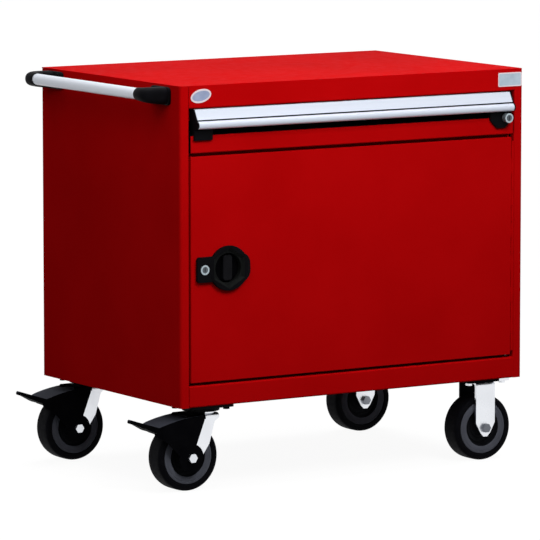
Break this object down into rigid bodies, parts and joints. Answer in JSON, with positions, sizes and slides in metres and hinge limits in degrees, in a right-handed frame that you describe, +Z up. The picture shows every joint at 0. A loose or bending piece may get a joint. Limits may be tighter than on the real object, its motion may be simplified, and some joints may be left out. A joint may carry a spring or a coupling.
{
  "type": "mobile tool cabinet",
  "caption": "Steel mobile cabinet with a wide drawer over a hinged, latched and locked cupboard, a push handle, swivel casters with brakes at one side and rigid casters at the other.",
  "frame": {"origin": "floor level, in the middle of the whole cabinet's box in plan", "axes": "+Z up, front towards -Y, push handle and swivel casters towards -X"},
  "size_m": [1.0152, 0.6306, 0.9017],
  "materials": {
    "red_paint": "powder coat",
    "dark_steel": "plain",
    "zinc": "bright zinc",
    "lock_chrome": "polished",
    "black_moulding": "fine grain",
    "black_steel": "satin",
    "pull_aluminium": "satin",
    "black_tread": "matte",
    "grey_core": "matte"
  },
  "bodies": {
    "housing": {"left_side_panel": "red_paint", "right_side_panel": "red_paint", "back_panel": "red_paint", "top_panel": "red_paint", "base_pan": "red_paint", "caster_backing_plates": "dark_steel", "cupboard_floor": "red_paint", "drawer_partition": "red_paint", "latch_keeper_strip": "red_paint", "slotted_uprights": "dark_steel", "adjustable_shelf": "red_paint", "shelf_clips": "zinc", "push_handle_tube": "zinc", "push_handle_brackets": "black_moulding", "push_handle_screws": "black_steel", "drawer_slide_rails": "zinc", "hinge_frame_leaf": "red_paint", "hinge_pin": "red_paint", "caster_bolts": "zinc", "swivel_caster_plates": "black_steel", "swivel_heads": "black_steel", "rigid_caster_forks": "zinc", "rigid_axle_bolts": "zinc"},
    "drawer": {"drawer_box": "red_paint", "drawer_front": "red_paint", "drawer_pull": "pull_aluminium", "pull_brackets": "black_moulding", "drawer_lock_barrel": "lock_chrome", "drawer_slide_runners": "zinc"},
    "drawer_lock": {"drawer_lock_plug": "lock_chrome", "drawer_lock_cam": "dark_steel"},
    "slide_middles": {"drawer_slide_middles": "zinc"},
    "door": {"door_panel": "red_paint", "door_inner_panel": "red_paint", "hinge_door_leaf": "red_paint", "door_rosette": "black_moulding", "door_lock_barrel": "lock_chrome", "rod_guides": "dark_steel"},
    "door_handle": {"door_knob": "black_moulding", "latch_hub": "dark_steel"},
    "upper_rod": {"upper_latch_rod": "dark_steel"},
    "lower_rod": {"lower_latch_rod": "dark_steel"},
    "door_lock": {"door_lock_plug": "lock_chrome", "door_lock_cam": "dark_steel"},
    "front_caster": {"front_swivel_fork": "zinc", "front_swivel_axle": "zinc"},
    "rear_caster": {"rear_swivel_fork": "zinc", "rear_swivel_axle": "zinc"},
    "front_pedal": {"front_brake_pedal": "black_moulding"},
    "rear_pedal": {"rear_brake_pedal": "black_moulding"},
    "front_shoe": {"front_brake_shoe": "dark_steel"},
    "rear_shoe": {"rear_brake_shoe": "dark_steel"},
    "front_left_wheel": {"front_left_tread": "black_tread", "front_left_core": "grey_core"},
    "rear_left_wheel": {"rear_left_tread": "black_tread", "rear_left_core": "grey_core"},
    "front_right_wheel": {"front_right_tread": "black_tread", "front_right_core": "grey_core"},
    "rear_right_wheel": {"rear_right_tread": "black_tread", "rear_right_core": "grey_core"}
  },
  "joints": [
    {"name": "drawer_slide", "type": "slide", "parent": "housing", "child": "drawer", "axis": [0, -1, 0], "range_m": [0, 0.5]},
    {"name": "slide_middle_travel", "type": "slide", "parent": "housing", "child": "slide_middles", "axis": [0, -1, 0], "range_m": [0, 0.25]},
    {"name": "drawer_lock_turn", "type": "hinge", "parent": "drawer", "child": "drawer_lock", "pos_m": [0.4574, -0.2943, 0.7912], "axis": [0, 1, 0], "range_deg": [0, 90]},
    {"name": "door_swing", "type": "hinge", "parent": "housing", "child": "door", "pos_m": [0.4806, -0.2933, 0.49535], "axis": [0, 0, 1], "range_deg": [0, 135]},
    {"name": "door_knob_turn", "type": "hinge", "parent": "door", "child": "door_handle", "pos_m": [-0.2846, -0.2943, 0.49535], "axis": [0, -1, 0], "range_deg": [0, 90]},
    {"name": "upper_rod_slide", "type": "slide", "parent": "door", "child": "upper_rod", "axis": [0, 0, 1], "range_m": [0, 0.01697]},
    {"name": "lower_rod_slide", "type": "slide", "parent": "door", "child": "lower_rod", "axis": [0, 0, -1], "range_m": [0, 0.01697]},
    {"name": "door_lock_turn", "type": "hinge", "parent": "door", "child": "door_lock", "pos_m": [-0.3484, -0.2943, 0.49535], "axis": [0, -1, 0], "range_deg": [0, 90]},
    {"name": "front_swivel", "type": "hinge", "parent": "housing", "child": "front_caster", "pos_m": [-0.3218, -0.2393, 0.1654], "axis": [0, 0, 1], "continuous": true},
    {"name": "front_left_wheel_spin", "type": "hinge", "parent": "front_caster", "child": "front_left_wheel", "pos_m": [-0.3688, -0.2393, 0.0762], "axis": [0, 1, 0], "continuous": true},
    {"name": "front_brake_press", "type": "hinge", "parent": "front_caster", "child": "front_pedal", "pos_m": [-0.3688, -0.2393, 0.0762], "axis": [0, -1, 0], "range_deg": [0, 10]},
    {"name": "front_shoe_tilt", "type": "hinge", "parent": "front_caster", "child": "front_shoe", "pos_m": [-0.3668, -0.2393, 0.1602], "axis": [0, -1, 0], "range_deg": [0, 2]},
    {"name": "front_right_wheel_spin", "type": "hinge", "parent": "housing", "child": "front_right_wheel", "pos_m": [0.4226, -0.2393, 0.0762], "axis": [0, 1, 0], "continuous": true},
    {"name": "rear_swivel", "type": "hinge", "parent": "housing", "child": "rear_caster", "pos_m": [-0.3218, 0.2603, 0.1654], "axis": [0, 0, 1], "continuous": true},
    {"name": "rear_left_wheel_spin", "type": "hinge", "parent": "rear_caster", "child": "rear_left_wheel", "pos_m": [-0.3688, 0.2603, 0.0762], "axis": [0, 1, 0], "continuous": true},
    {"name": "rear_brake_press", "type": "hinge", "parent": "rear_caster", "child": "rear_pedal", "pos_m": [-0.3688, 0.2603, 0.0762], "axis": [0, -1, 0], "range_deg": [0, 10]},
    {"name": "rear_shoe_tilt", "type": "hinge", "parent": "rear_caster", "child": "rear_shoe", "pos_m": [-0.3668, 0.2603, 0.1602], "axis": [0, -1, 0], "range_deg": [0, 2]},
    {"name": "rear_right_wheel_spin", "type": "hinge", "parent": "housing", "child": "rear_right_wheel", "pos_m": [0.4226, 0.2603, 0.0762], "axis": [0, 1, 0], "continuous": true}
  ],
  "couplings": [
    {"joint": "slide_middle_travel", "follows": "drawer_slide", "ratio": 0.5},
    {"joint": "door_knob_turn", "follows": "upper_rod_slide", "rad_per_m": 92.558},
    {"joint": "lower_rod_slide", "follows": "upper_rod_slide", "ratio": 1},
    {"joint": "front_shoe_tilt", "follows": "front_brake_press", "ratio": 0.2},
    {"joint": "rear_shoe_tilt", "follows": "rear_brake_press", "ratio": 0.2}
  ]
}
